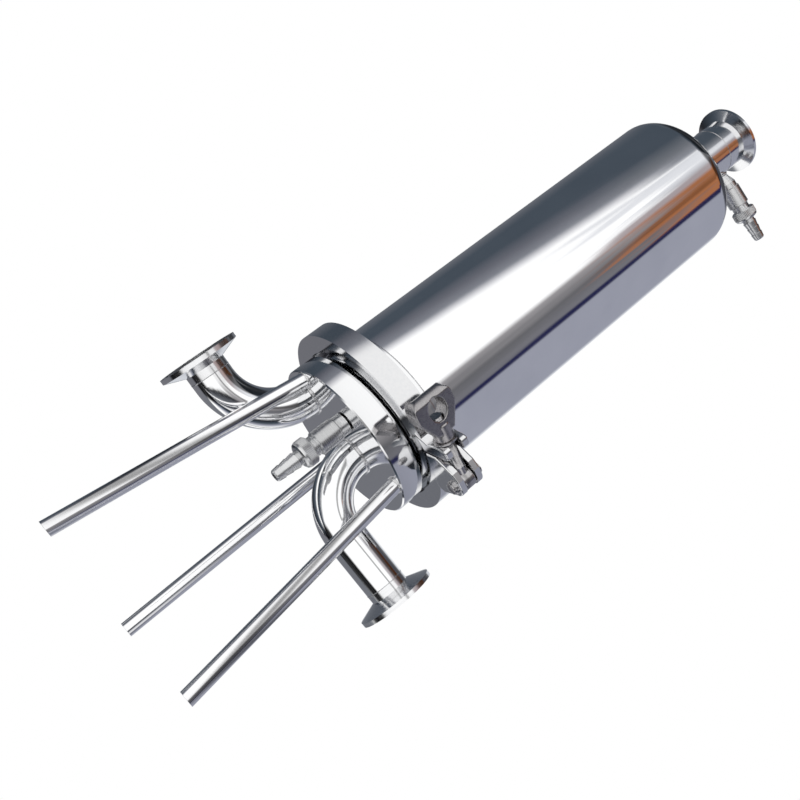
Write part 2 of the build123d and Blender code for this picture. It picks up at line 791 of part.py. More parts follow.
nut_collar_r = bolt_r + 2.2
nut_collar = 5.5              # from the washer to where the wings spread
nut_spread = 19.0             # where they reach their full width
nut_wing_half = 13.3
nut_base_half = 5.6
nut_crease_half = 5.0
nut_crease = 28.2
nut_length = 31.0
eye_middle = 20.8
eye_half_long = 7.6
eye_half_wide = 5.9
eye_shift = 0.8
nut_plane = seat_plane.offset(washer_thick + run_fit)
nut_face = Plane(
    origin=nut_plane.origin,
    x_dir=(0, 0, 1),
    z_dir=ear_plane.x_dir,
)
nut_side = Plane(
    origin=nut_plane.origin,
    x_dir=ear_plane.x_dir,
    z_dir=(0, 0, -1),
)
with BuildPart() as wing_nut:
    with BuildSketch(nut_side):
        with BuildLine():
            Polyline(
                (-nut_crease_half, nut_crease),
                (-nut_base_half, nut_collar),
                (nut_base_half, nut_collar),
                (nut_crease_half, nut_crease),
            )
            ThreePointArc(
                (nut_crease_half, nut_crease),
                (0, nut_length),
                (-nut_crease_half, nut_crease),
            )
        make_face()
    extrude(amount=nut_wing_half, both=True)
    with BuildSketch(nut_face) as wing_outline:
        with BuildLine():
            Polyline(
                (-nut_collar_r + 1, 0),
                (nut_collar_r - 1, 0),
                (nut_collar_r, nut_collar),
                (nut_wing_half, nut_spread),
                (nut_wing_half, nut_length),
                (-nut_wing_half, nut_length),
                (-nut_wing_half, nut_spread),
                (-nut_collar_r, nut_collar),
                close=True,
            )
        make_face()
        wing_corners = wing_outline.vertices().sort_by(Axis.Y)
        fillet(wing_corners[2:], radius=6)
    extrude(amount=nut_base_half + 1, both=True, mode=Mode.INTERSECT)
    with BuildSketch(nut_plane):
        Circle(nut_collar_r)
    extrude(amount=nut_collar + 5)
    with BuildSketch(nut_face):
        with Locations((eye_shift, eye_middle)):
            Ellipse(eye_half_wide, eye_half_long)
    extrude(amount=nut_base_half + 5, both=True, mode=Mode.SUBTRACT)
    with BuildSketch(nut_plane):
        Circle(bolt_r + run_fit)
    extrude(amount=eye_middle, mode=Mode.SUBTRACT)
wing_nut.part.label = "wing_nut"
export_step(wing_nut.part, "parts/wing_nut.step")


# Cartridge: caps, core, cage and a pleated medium between them
cartridge_z = boss_top_z
core_z = cartridge_z + cap_height
core_top_z = cartridge_z + cartridge_length - cap_height
oring_r = 1.2
oring_ring_r = socket_r - oring_r - tiny
oring_heights = {"cartridge_oring_high": 5.5, "cartridge_oring_low": 12.5}

with BuildPart() as cartridge_bottom_cap:
    with BuildSketch(Plane.XZ):
        with BuildLine():
            Polyline(
                (spigot_bore_r, cartridge_z - spigot_length),
                (spigot_r - 1.5, cartridge_z - spigot_length),
                (spigot_r, cartridge_z - spigot_length + 2.5),
                (spigot_r, cartridge_z),
                (cap_r, cartridge_z),
                (cap_r, core_z + 4),
                (cap_r - 0.4, core_z + 4),
                (cap_r - 0.4, core_z),
                (spigot_bore_r, core_z),
                close=True,
            )
        make_face()
        for depth in oring_heights.values():
            with Locations((oring_ring_r, cartridge_z - depth)):
                Rectangle(2 * oring_r + 2 * tiny, 2 * oring_r + 0.4, mode=Mode.SUBTRACT)
    revolve(axis=Axis.Z)
cartridge_bottom_cap.part.label = "cartridge_bottom_cap"
export_step(cartridge_bottom_cap.part, "parts/cartridge_bottom_cap.step")

for oring_name, depth in oring_heights.items():
    with BuildPart() as oring:
        with BuildSketch(Plane.XZ):
            with Locations((oring_ring_r, cartridge_z - depth)):
                Circle(oring_r)
        revolve(axis=Axis.Z)
    oring.part.label = oring_name
    export_step(oring.part, "parts/" + oring_name + ".step")

window_rows = 6
window_height = 22.0
row_pitch = (core_top_z - core_z) / window_rows
with BuildPart() as cartridge_core:
    with BuildSketch(Plane.XY.offset(core_z)):
        Circle(core_r)
        Circle(core_r - core_wall, mode=Mode.SUBTRACT)
    extrude(amount=core_top_z - core_z)
    for row in range(window_rows):
        row_z = core_z + (row + 0.5) * row_pitch
        for turn in (0, 60, 120):
            with BuildSketch(Plane(origin=(0, 0, row_z), x_dir=(0, 0, 1), z_dir=polar(1, turn, 0))):
                Rectangle(window_height, 8)
            extrude(amount=core_r + 1, both=True, mode=Mode.SUBTRACT)
cartridge_core.part.label = "cartridge_core"
export_step(cartridge_core.part, "parts/cartridge_core.step")

# Medium: one pleated sheet closed into a ring
with BuildPart() as cartridge_media:
    with BuildSketch(Plane.XY.offset(core_z)):
        with BuildLine():
            fold_points = []
            for fold in range(2 * pleat_count):
                fold_r = pleat_outer_r if fold % 2 else pleat_inner_r + pleat_thick
                fold_points.append(polar(fold_r, fold * 180 / pleat_count, 0)[:2])
            Polyline(*fold_points, close=True)
        make_face()
        with BuildLine():
            fold_points = []
            for fold in range(2 * pleat_count):
                fold_r = pleat_outer_r - 4 * pleat_thick if fold % 2 else pleat_inner_r
                fold_points.append(polar(fold_r, fold * 180 / pleat_count, 0)[:2])
            Polyline(*fold_points, close=True)
        make_face(mode=Mode.SUBTRACT)
    extrude(amount=core_top_z - core_z)
cartridge_media.part.label = "cartridge_media"
export_step(cartridge_media.part, "parts/cartridge_media.step")

with BuildPart() as cartridge_cage:
    with BuildSketch(Plane.XY.offset(core_z)):
        Circle(cage_r)
        Circle(cage_r - cage_wall, mode=Mode.SUBTRACT)
    extrude(amount=core_top_z - core_z)
    for row in range(window_rows):
        row_z = core_z + (row + 0.5) * row_pitch
        for turn in range(0, 180, 30):
            with BuildSketch(Plane(origin=(0, 0, row_z), x_dir=(0, 0, 1), z_dir=polar(1, turn, 0))):
                Rectangle(window_height + 6, 12)
            extrude(amount=cage_r + 1, both=True, mode=Mode.SUBTRACT)
cartridge_cage.part.label = "cartridge_cage"
export_step(cartridge_cage.part, "parts/cartridge_cage.step")

fin_half_width = 16.0
fin_half_thick = 1.5
with BuildPart() as cartridge_top_cap:
    with BuildSketch(Plane.XY.offset(core_top_z)):
        Circle(cap_r)
    extrude(amount=cap_height)
    top_cap_rim = cartridge_top_cap.faces().sort_by(Axis.Z)[-1].edges()
    fillet(top_cap_rim, radius=1.5)
    with BuildSketch(Plane.XZ):
        with BuildLine():
            cap_top = core_top_z + cap_height
            Polyline(
                (-fin_half_width, cap_top - 1),
                (fin_half_width, cap_top - 1),
                (fin_half_width - 4, cap_top + fin_height - 8),
                (fin_half_width - 12, cap_top + fin_height),
                (-fin_half_width + 12, cap_top + fin_height),
                (-fin_half_width + 4, cap_top + fin_height - 8),
                close=True,
            )
        make_face()
    extrude(amount=fin_half_thick, both=True)
cartridge_top_cap.part.label = "cartridge_top_cap"
export_step(cartridge_top_cap.part, "parts/cartridge_top_cap.step")
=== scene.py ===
"""Looks of a sanitary cartridge filter: polished barrel, cast clamp, turned flanges."""
import math

import bpy
from mathutils import Matrix, Vector


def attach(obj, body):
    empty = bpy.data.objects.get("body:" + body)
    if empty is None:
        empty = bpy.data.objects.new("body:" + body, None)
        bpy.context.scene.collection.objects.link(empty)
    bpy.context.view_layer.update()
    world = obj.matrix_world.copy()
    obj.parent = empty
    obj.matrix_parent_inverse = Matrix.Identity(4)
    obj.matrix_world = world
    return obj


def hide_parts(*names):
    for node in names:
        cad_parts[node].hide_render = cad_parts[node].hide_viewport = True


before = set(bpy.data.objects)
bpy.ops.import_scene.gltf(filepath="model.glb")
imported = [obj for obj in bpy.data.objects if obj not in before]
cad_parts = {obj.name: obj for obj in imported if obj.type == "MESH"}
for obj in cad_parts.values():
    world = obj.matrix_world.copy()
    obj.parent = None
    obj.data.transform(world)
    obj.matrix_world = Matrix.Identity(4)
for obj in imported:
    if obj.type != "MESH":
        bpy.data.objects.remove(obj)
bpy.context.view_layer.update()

MM = 0.001


# Materials: helpers

def new_group(name, inputs, outputs):
    """A shader group with named sockets; each input is (name, kind, value)."""
    group = bpy.data.node_groups.new(name, "ShaderNodeTree")
    for socket_name, kind, value in inputs:
        socket = group.interface.new_socket(socket_name, in_out="INPUT", socket_type=kind)
        socket.default_value = value
    for socket_name, kind in outputs:
        group.interface.new_socket(socket_name, in_out="OUTPUT", socket_type=kind)
    entry = group.nodes.new("NodeGroupInput")
    leave = group.nodes.new("NodeGroupOutput")
    return group, entry, leave


def add_math(tree, operation, first, second=None, third=None):
    """A Math node whose inputs are sockets or plain numbers."""
    node = tree.nodes.new("ShaderNodeMath")
    node.operation = operation
    for slot, value in enumerate((first, second, third)):
        if value is None:
            continue
        if isinstance(value, (int, float)):
            node.inputs[slot].default_value = value
        else:
            tree.links.new(value, node.inputs[slot])
    return node.outputs[0]


def build_polish():
    """Buffing marks and haze of polished steel: a tint mask, roughness and height."""
    group, entry, leave = new_group(
        "polish_marks",
        [
            ("Vector", "NodeSocketVector", (0, 0, 0)),
            ("Scratch Scale", "NodeSocketFloat", 900.0),
            ("Stretch", "NodeSocketFloat", 0.06),
            ("Roughness", "NodeSocketFloat", 0.06),
            ("Haze", "NodeSocketFloat", 0.05),
        ],
        [
            ("Mask", "NodeSocketFloat"),
            ("Roughness", "NodeSocketFloat"),
            ("Height", "NodeSocketFloat"),
        ],
    )
    links = group.links
    split = group.nodes.new("ShaderNodeSeparateXYZ")
    links.new(entry.outputs["Vector"], split.inputs[0])
    joined = group.nodes.new("ShaderNodeCombineXYZ")
    links.new(add_math(group, "MULTIPLY", split.outputs[0], entry.outputs["Stretch"]), joined.inputs[0])
    links.new(add_math(group, "MULTIPLY", split.outputs[1], entry.outputs["Stretch"]), joined.inputs[1])
    links.new(split.outputs[2], joined.inputs[2])
    scratches = group.nodes.new("ShaderNodeTexNoise")
    scratches.inputs["Detail"].default_value = 6.0
    scratches.inputs["Roughness"].default_value = 0.7
    links.new(joined.outputs[0], scratches.inputs["Vector"])
    links.new(entry.outputs["Scratch Scale"], scratches.inputs["Scale"])
    haze = group.nodes.new("ShaderNodeTexNoise")
    haze.inputs["Scale"].default_value = 26.0
    haze.inputs["Detail"].default_value = 4.0
    links.new(entry.outputs["Vector"], haze.inputs["Vector"])
    haze_part = add_math(group, "MULTIPLY", haze.outputs[0], entry.outputs["Haze"])
    scratch_share = 0.04
    fine_part = add_math(group, "MULTIPLY", scratches.outputs[0], scratch_share)
    rough = add_math(group, "ADD", entry.outputs["Roughness"], haze_part)
    links.new(add_math(group, "ADD", rough, fine_part), leave.inputs["Roughness"])
    links.new(haze.outputs[0], leave.inputs["Mask"])
    links.new(scratches.outputs[0], leave.inputs["Height"])
    return group


def build_rings():
    """Turning marks: rings about the local Z axis, as a height and a mask."""
    group, entry, leave = new_group(
        "turning_marks",
        [
            ("Vector", "NodeSocketVector", (0, 0, 0)),
            ("Rings per Metre", "NodeSocketFloat", 2600.0),
        ],
        [("Height", "NodeSocketFloat"), ("Mask", "NodeSocketFloat")],
    )
    links = group.links
    split = group.nodes.new("ShaderNodeSeparateXYZ")
    links.new(entry.outputs["Vector"], split.inputs[0])
    squares = add_math(
        group,
        "ADD",
        add_math(group, "POWER", split.outputs[0], 2.0),
        add_math(group, "POWER", split.outputs[1], 2.0),
    )
    radius = add_math(group, "SQRT", squares)
    joined = group.nodes.new("ShaderNodeCombineXYZ")
    links.new(radius, joined.inputs[0])
    links.new(split.outputs[2], joined.inputs[2])
    rings = group.nodes.new("ShaderNodeTexNoise")
    rings.inputs["Detail"].default_value = 3.0
    links.new(joined.outputs[0], rings.inputs["Vector"])
    links.new(entry.outputs["Rings per Metre"], rings.inputs["Scale"])
    links.new(rings.outputs[0], leave.inputs["Height"])
    links.new(rings.outputs[0], leave.inputs["Mask"])
    return group


def build_cast_skin():
    """Tumbled casting skin: fine grain and soft dents."""
    group, entry, leave = new_group(
        "cast_skin",
        [
            ("Vector", "NodeSocketVector", (0, 0, 0)),
            ("Grain Scale", "NodeSocketFloat", 1500.0),
        ],
        [("Height", "NodeSocketFloat"), ("Mask", "NodeSocketFloat")],
    )
    links = group.links
    grain = group.nodes.new("ShaderNodeTexNoise")
    grain.inputs["Detail"].default_value = 5.0
    links.new(entry.outputs["Vector"], grain.inputs["Vector"])
    links.new(entry.outputs["Grain Scale"], grain.inputs["Scale"])
    dents = group.nodes.new("ShaderNodeTexNoise")
    dents.inputs["Scale"].default_value = 520.0
    dents.inputs["Detail"].default_value = 2.0
    links.new(entry.outputs["Vector"], dents.inputs["Vector"])
    grain_share = 0.35
    weak_grain = add_math(group, "MULTIPLY", grain.outputs[0], grain_share)
    links.new(add_math(group, "ADD", weak_grain, dents.outputs[0]), leave.inputs["Height"])
    links.new(dents.outputs[0], leave.inputs["Mask"])
    return group


polish_group = build_polish()
ring_group = build_rings()
skin_group = build_cast_skin()


def start_material(name):
    """An empty material with its Principled shader."""
    material = bpy.data.materials.new(name)
    material.use_nodes = True
    shader = material.node_tree.nodes["Principled BSDF"]
    return material, material.node_tree, shader


def object_vector(tree, centre=(0, 0, 0), turn=(0, 0, 0)):
    """Object coordinates, moved so that the piece's own axis is local Z."""
    coords = tree.nodes.new("ShaderNodeTexCoord")
    mapping = tree.nodes.new("ShaderNodeMapping")
    mapping.vector_type = "TEXTURE"
    mapping.inputs["Location"].default_value = centre
    mapping.inputs["Rotation"].default_value = turn
    tree.links.new(coords.outputs["Object"], mapping.inputs["Vector"])
    return mapping.outputs["Vector"]


def blend_colours(tree, mask, low, high):
    """A colour between two values by a mask."""
    ramp = tree.nodes.new("ShaderNodeValToRGB")
    mask_range = (0.3, 0.7)
    for element, position, colour in zip(ramp.color_ramp.elements, mask_range, (low, high)):
        element.position = position
        element.color = (*colour, 1)
    tree.links.new(mask, ramp.inputs["Fac"])
    return ramp.outputs["Color"]


def add_bump(tree, shader, height, strength, distance):
    """A bump that feeds the shader's normal."""
    bump = tree.nodes.new("ShaderNodeBump")
    bump.inputs["Strength"].default_value = strength
    bump.inputs["Distance"].default_value = distance
    tree.links.new(height, bump.inputs["Height"])
    tree.links.new(bump.outputs["Normal"], shader.inputs["Normal"])


def make_polished(name, centre=(0, 0, 0), turn=(0, 0, 0), rough=0.035, haze=0.03,
                  low=(0.86, 0.865, 0.875), high=(0.93, 0.93, 0.935), depth=0.02 * MM):
    """Mirror polished steel with faint buffing marks round its axis."""
    material, tree, shader = start_material(name)
    shader.inputs["Metallic"].default_value = 1.0
    marks = tree.nodes.new("ShaderNodeGroup")
    marks.node_tree = polish_group
    marks.inputs["Roughness"].default_value = rough
    marks.inputs["Haze"].default_value = haze
    tree.links.new(object_vector(tree, centre, turn), marks.inputs["Vector"])
    tree.links.new(blend_colours(tree, marks.outputs["Mask"], low, high), shader.inputs["Base Color"])
    tree.links.new(marks.outputs["Roughness"], shader.inputs["Roughness"])
    buff_strength = 0.12
    add_bump(tree, shader, marks.outputs["Height"], buff_strength, depth)
    return material


def make_turned(name, centre=(0, 0, 0), turn=(0, 0, 0), rough=0.12,
                low=(0.80, 0.805, 0.815), high=(0.87, 0.87, 0.875)):
    """Steel with rings left by a lathe, lightly polished."""
    material, tree, shader = start_material(name)
    shader.inputs["Metallic"].default_value = 1.0
    vector = object_vector(tree, centre, turn)
    rings = tree.nodes.new("ShaderNodeGroup")
    rings.node_tree = ring_group
    tree.links.new(vector, rings.inputs["Vector"])
    tree.links.new(blend_colours(tree, rings.outputs["Mask"], low, high), shader.inputs["Base Color"])
    ring_spread = 0.06
    ring_strength = 0.15
    ring_depth = 0.01 * MM
    spread = add_math(tree, "MULTIPLY_ADD", rings.outputs["Mask"], ring_spread, rough)
    tree.links.new(spread, shader.inputs["Roughness"])
    add_bump(tree, shader, rings.outputs["Height"], ring_strength, ring_depth)
    return material


def make_cast(name, rough=0.22, low=(0.42, 0.41, 0.415), high=(0.52, 0.51, 0.515), grain=0.2):
    """Cast and tumbled steel, duller than the polished pieces."""
    material, tree, shader = start_material(name)
    shader.inputs["Metallic"].default_value = 1.0
    skin = tree.nodes.new("ShaderNodeGroup")
    skin.node_tree = skin_group
    tree.links.new(object_vector(tree), skin.inputs["Vector"])
    tree.links.new(blend_colours(tree, skin.outputs["Mask"], low, high), shader.inputs["Base Color"])
    dent_spread = 0.08
    grain_depth = 0.03 * MM
    spread = add_math(tree, "MULTIPLY_ADD", skin.outputs["Mask"], dent_spread, rough)
    tree.links.new(spread, shader.inputs["Roughness"])
    add_bump(tree, shader, skin.outputs["Height"], grain, grain_depth)
    return material


def make_moulded(name, low, high, rough, grain=0.3):
    """Rubber, silicone or plastic with a fine moulded grain."""
    material, tree, shader = start_material(name)
    skin = tree.nodes.new("ShaderNodeGroup")
    skin.node_tree = skin_group
    fine_grain = 2600.0
    skin.inputs["Grain Scale"].default_value = fine_grain
    tree.links.new(object_vector(tree), skin.inputs["Vector"])
    tree.links.new(blend_colours(tree, skin.outputs["Mask"], low, high), shader.inputs["Base Color"])
    mould_spread = 0.15
    mould_depth = 0.05 * MM
    spread = add_math(tree, "MULTIPLY_ADD", skin.outputs["Mask"], mould_spread, rough)
    tree.links.new(spread, shader.inputs["Roughness"])
    add_bump(tree, shader, skin.outputs["Height"], grain, mould_depth)
    return material


def dress(node, material):
    """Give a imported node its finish."""
    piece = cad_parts[node]
    piece.data.materials.clear()
    piece.data.materials.append(material)


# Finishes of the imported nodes
quarter = math.radians(90)
inlet_turn = math.radians(192)
vent_turn = math.radians(7.5)
inlet_centre = (-0.037, 0, 0.1229)
outlet_centre = (0, 0, 0.1274)
vent_centre = (0, 0, 0.529)
drain_centre = (-0.009, -0.028, 0)
along_z = (0, 0, 0)
along_x = (0, quarter, 0)
along_inlet = (0, quarter, inlet_turn)
along_vent = (0, quarter, vent_turn)

dress("bell_shell", make_polished("polished_barrel"))
leg_low = (0.80, 0.80, 0.81)
for leg in ("leg_left", "leg_right", "leg_back"):
    dress(leg, make_polished("polished_" + leg, rough=0.07, low=leg_low))
dress("inlet_elbow", make_polished("polished_inlet", rough=0.05))
dress("outlet_elbow", make_polished("polished_outlet", rough=0.05))
dress("top_neck", make_turned("turned_neck", rough=0.10))
dress("bell_flange", make_turned("turned_bell_flange", rough=0.06))
dress("base_plate", make_turned("turned_base", rough=0.05))
dress("top_ferrule", make_turned("turned_top_port", rough=0.10))
dress("outlet_ferrule", make_turned("turned_outlet_port", outlet_centre, along_x))
dress("inlet_ferrule", make_turned("turned_inlet_port", inlet_centre, along_inlet))
valve_place = {"drain": (drain_centre, along_z), "vent": (vent_centre, along_vent)}
satin_low = (0.64, 0.645, 0.65)
satin_high = (0.72, 0.72, 0.725)
satin_rough = 0.24
for valve, (centre, turn) in valve_place.items():
    for piece in ("body", "stem"):
        node = valve + "_" + piece
        dress(node, make_turned("turned_" + node, centre, turn, satin_rough, satin_low, satin_high))
clamp_low = (0.71, 0.715, 0.725)
clamp_high = (0.75, 0.75, 0.755)
for node in ("clamp_half_pivot", "clamp_half_fork"):
    dress(node, make_cast("cast_" + node, 0.07, clamp_low, clamp_high, grain=0.05))
for node in ("wing_nut", "swing_bolt", "nut_washer", "pivot_pin", "hinge_pin"):
    dress(node, make_cast("cast_" + node))
dress("gasket", make_moulded("gasket_silicone", (0.72, 0.72, 0.69), (0.82, 0.82, 0.79), 0.4))
rubber = make_moulded("seal_rubber", (0.012, 0.012, 0.013), (0.03, 0.03, 0.03), 0.35)
for node in ("drain_seal", "vent_seal", "cartridge_oring_high", "cartridge_oring_low"):
    dress(node, rubber)
white_plastic = make_moulded("cartridge_plastic", (0.78, 0.78, 0.76), (0.86, 0.86, 0.84), 0.45)
for node in ("cartridge_bottom_cap", "cartridge_core", "cartridge_cage", "cartridge_top_cap"):
    dress(node, white_plastic)
dress("cartridge_media", make_moulded("filter_media", (0.80, 0.80, 0.77), (0.88, 0.88, 0.85), 0.8, 0.6))


# New pieces: threads, knurls, welds and rivets
def clear_selection():
    """Leave nothing selected, so that the next operator acts on one piece."""
    bpy.ops.object.select_all(action="DESELECT")


def apply_modifiers(piece):
    """Turn every modifier of a piece into mesh."""
    clear_selection()
    piece.select_set(True)
    bpy.context.view_layer.objects.active = piece
    for modifier in list(piece.modifiers):
        bpy.ops.object.modifier_apply(modifier=modifier.name)


def settle(piece, name, origin, along, up, body, material, sharp=35):
    """Lay a piece that was modelled about Z in its place, and dress it."""
    piece.name = name
    axis = Vector(along).normalized()
    side = Vector(up).normalized()
    turn = Matrix((side, axis.cross(side), axis)).transposed().to_4x4()
    piece.matrix_world = Matrix.Translation(Vector(origin)) @ turn @ piece.matrix_world
    clear_selection()
    piece.select_set(True)
    bpy.context.view_layer.objects.active = piece
    bpy.ops.object.transform_apply(location=True, rotation=True, scale=True)
    bpy.ops.object.shade_smooth_by_angle(angle=math.radians(sharp))
    piece.data.materials.clear()
    piece.data.materials.append(material)
    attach(piece, body)


def choose_vertices(piece, wanted):
    """Select the vertices that the test picks, by their place."""
    bpy.ops.mesh.select_mode(type="VERT")
    bpy.ops.mesh.select_all(action="DESELECT")
    bpy.ops.object.mode_set(mode="OBJECT")
    for vertex in piece.data.vertices:
        vertex.select = bool(wanted(vertex.co))
    bpy.ops.object.mode_set(mode="EDIT")


seam_merge = 0.02 * MM


def wind_thread(crest_r, depth, pitch, low, high, steps=28):
    """A screw thread about Z between two heights, flat at both ends."""
    clear_selection()
    half = pitch / 2
    root_r = crest_r - depth
    lead_in = 1.5 * pitch
    bpy.ops.mesh.primitive_circle_add(
        vertices=4,
        radius=half,
        location=(root_r, 0, low - lead_in),
        rotation=(quarter, 0, 0),
    )
    thread = bpy.context.active_object
    bpy.ops.object.transform_apply(location=True, rotation=True, scale=True)
    bpy.ops.object.mode_set(mode="EDIT")
    choose_vertices(thread, lambda place: place.x < root_r - half / 2)
    bpy.ops.mesh.delete(type="VERT")
    bpy.ops.mesh.select_all(action="SELECT")
    bpy.ops.transform.resize(value=(depth / half, 1, 1), center_override=(root_r, 0, 0))
    bpy.ops.object.mode_set(mode="OBJECT")
    screw = thread.modifiers.new("wind", "SCREW")
    screw.axis = "Z"
    screw.angle = 2 * math.pi
    screw.screw_offset = pitch
    spare_turns = 3
    screw.iterations = int(math.ceil((high - low) / pitch)) + spare_turns
    screw.steps = steps
    screw.render_steps = steps
    apply_modifiers(thread)
    bpy.ops.object.mode_set(mode="EDIT")
    bpy.ops.mesh.select_all(action="SELECT")
    bpy.ops.mesh.remove_doubles(threshold=seam_merge)
    for height, outward in ((low, -1), (high, 1)):
        bpy.ops.mesh.select_all(action="SELECT")
        bpy.ops.mesh.bisect(
            plane_co=(0, 0, height),
            plane_no=(0, 0, outward),
            use_fill=True,
            clear_outer=True,
        )
    bpy.ops.mesh.select_all(action="SELECT")
    bpy.ops.mesh.normals_make_consistent(inside=False)
    bpy.ops.object.mode_set(mode="OBJECT")
    return thread


bolt_r = 4.0 * MM
bolt_pitch = 1.25 * MM
bolt_thread_depth = 0.62 * MM
bolt_thread_start = 10.0 * MM
bolt_thread_end = 46.0 * MM
bolt_eye_r = 6.5 * MM
bolt_eye_width = 8.0 * MM
bolt_eye_edge = 1.0 * MM
bolt_bore_r = 3.05 * MM
bolt_neck_length = 6.0 * MM
bolt_neck_middle = 7.2 * MM
bolt_neck_cone = 0.9 * MM
bolt_neck_taper = 0.82


def make_swing_bolt():
    """Forged eye, round neck and threaded shank, about Z from the pivot."""
    shank = wind_thread(bolt_r, bolt_thread_depth, bolt_pitch, bolt_thread_start, bolt_thread_end)
    clear_selection()
    bpy.ops.mesh.primitive_cylinder_add(
        vertices=64, radius=bolt_eye_r, depth=bolt_eye_width, rotation=(0, quarter, 0)
    )
    eye = bpy.context.active_object
    bpy.ops.object.transform_apply(location=True, rotation=True, scale=True)
    soften = eye.modifiers.new("soften", "BEVEL")
    soften.width = bolt_eye_edge
    soften.segments = 3
    soften.limit_method = "ANGLE"
    apply_modifiers(eye)
    clear_selection()
    bpy.ops.mesh.primitive_cylinder_add(
        vertices=48, radius=bolt_bore_r, depth=1.5 * bolt_eye_width, rotation=(0, quarter, 0)
    )
    drill = bpy.context.active_object
    bore = eye.modifiers.new("bore", "BOOLEAN")
    bore.operation = "DIFFERENCE"
    bore.object = drill
    apply_modifiers(eye)
    bpy.data.objects.remove(drill, do_unlink=True)
    clear_selection()
    bpy.ops.mesh.primitive_cylinder_add(
        vertices=48, radius=bolt_r, depth=bolt_neck_length, location=(0, 0, bolt_neck_middle)
    )
    neck = bpy.context.active_object
    bpy.ops.object.mode_set(mode="EDIT")
    bpy.ops.mesh.select_mode(type="FACE")
    bpy.ops.mesh.select_all(action="DESELECT")
    bpy.ops.object.mode_set(mode="OBJECT")
    for face in neck.data.polygons:
        face.select = face.normal.z > 0.9
    bpy.ops.object.mode_set(mode="EDIT")
    bpy.ops.mesh.extrude_region_move(TRANSFORM_OT_translate={"value": (0, 0, bolt_neck_cone)})
    bpy.ops.transform.resize(value=(bolt_neck_taper, bolt_neck_taper, 1), center_override=(0, 0, 0))
    bpy.ops.object.mode_set(mode="OBJECT")
    clear_selection()
    for part in (shank, eye, neck):
        part.select_set(True)
    bpy.context.view_layer.objects.active = eye
    bpy.ops.object.join()
    return eye


knurl_wall = 0.9 * MM
knurl_chamfer = 0.7


def make_knurl(radius, length, ridges, height, shoulder):
    """A sleeve with ridges round it, turned down at both rims, its middle at the origin."""
    clear_selection()
    bpy.ops.mesh.primitive_cylinder_add(
        vertices=2 * ridges, radius=radius, depth=length, end_fill_type="NOTHING"
    )
    sleeve = bpy.context.active_object
    bpy.ops.object.mode_set(mode="EDIT")
    bpy.ops.mesh.select_all(action="SELECT")
    for level in (-0.5 * length + shoulder, 0.5 * length - shoulder):
        bpy.ops.mesh.select_all(action="SELECT")
        bpy.ops.mesh.bisect(plane_co=(0, 0, level), plane_no=(0, 0, 1))
    step = math.pi / ridges
    inner_level = 0.5 * length - 0.5 * shoulder
    choose_vertices(
        sleeve,
        lambda place: round(math.atan2(place.y, place.x) / step) % 2 == 1 and abs(place.z) < inner_level,
    )
    grown = 1 + height / radius
    bpy.ops.transform.resize(value=(grown, grown, 1), center_override=(0, 0, 0))
    choose_vertices(sleeve, lambda place: abs(place.z) > inner_level)
    shrunk = 1 - knurl_chamfer * shoulder / radius
    bpy.ops.transform.resize(value=(shrunk, shrunk, 1), center_override=(0, 0, 0))
    bpy.ops.object.mode_set(mode="OBJECT")
    wall = sleeve.modifiers.new("wall", "SOLIDIFY")
    wall.thickness = knurl_wall
    wall.offset = -1
    apply_modifiers(sleeve)
    return sleeve


ripple_share = 0.1


def make_weld(radius, bead, ripples):
    """A round weld bead about Z, with the ripples that the torch leaves."""
    clear_selection()
    bpy.ops.mesh.primitive_torus_add(
        major_radius=radius,
        minor_radius=bead,
        major_segments=4 * ripples,
        minor_segments=8,
    )
    weld = bpy.context.active_object
    bpy.ops.object.mode_set(mode="EDIT")
    step = math.pi / (2 * ripples)
    choose_vertices(weld, lambda place: round(math.atan2(place.y, place.x) / step) % 4 == 0)
    bpy.ops.transform.shrink_fatten(value=ripple_share * bead)
    bpy.ops.object.mode_set(mode="OBJECT")
    return weld


def make_rivet(radius, height):
    """A domed rivet head that stands on the XY plane."""
    clear_selection()
    bpy.ops.mesh.primitive_cylinder_add(vertices=32, radius=radius, depth=height, location=(0, 0, height / 2))
    rivet = bpy.context.active_object
    bpy.ops.object.transform_apply(location=True, rotation=True, scale=True)
    bpy.ops.object.mode_set(mode="EDIT")
    bpy.ops.mesh.select_mode(type="FACE")
    bpy.ops.mesh.select_all(action="DESELECT")
    bpy.ops.object.mode_set(mode="OBJECT")
    for face in rivet.data.polygons:
        face.select = face.normal.z > 0.9
    bpy.ops.object.mode_set(mode="EDIT")
    dome_steps = ((0.12, 0.2), (0.2, 0.14), (0.25, 0.06))
    for inset, rise in dome_steps:
        bpy.ops.mesh.inset(thickness=inset * radius)
        bpy.ops.transform.translate(value=(0, 0, rise * height))
    bpy.ops.object.mode_set(mode="OBJECT")
    return rivet


facet_merge = 0.005 * MM


def soften_casting(node, name, cell, rounds, body, material):
    """A casting with the CAD shape's size and the soft edges of a mould."""
    clear_selection()
    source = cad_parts[node]
    casting = source.copy()
    casting.data = source.data.copy()
    bpy.context.collection.objects.link(casting)
    casting.hide_render = False
    casting.hide_set(False)
    casting.select_set(True)
    bpy.context.view_layer.objects.active = casting
    bpy.ops.object.mode_set(mode="EDIT")
    bpy.ops.mesh.select_all(action="SELECT")
    bpy.ops.mesh.remove_doubles(threshold=facet_merge)
    bpy.ops.object.mode_set(mode="OBJECT")
    remesh = casting.modifiers.new("skin", "REMESH")
    remesh.mode = "VOXEL"
    remesh.voxel_size = cell
    smooth = casting.modifiers.new("tumble", "SMOOTH")
    smooth.factor = 0.5
    smooth.iterations = rounds
    apply_modifiers(casting)
    settle(casting, name, (0, 0, 0), (0, 0, 1), (1, 0, 0), body, material, 60)
    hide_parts(node)
    return casting


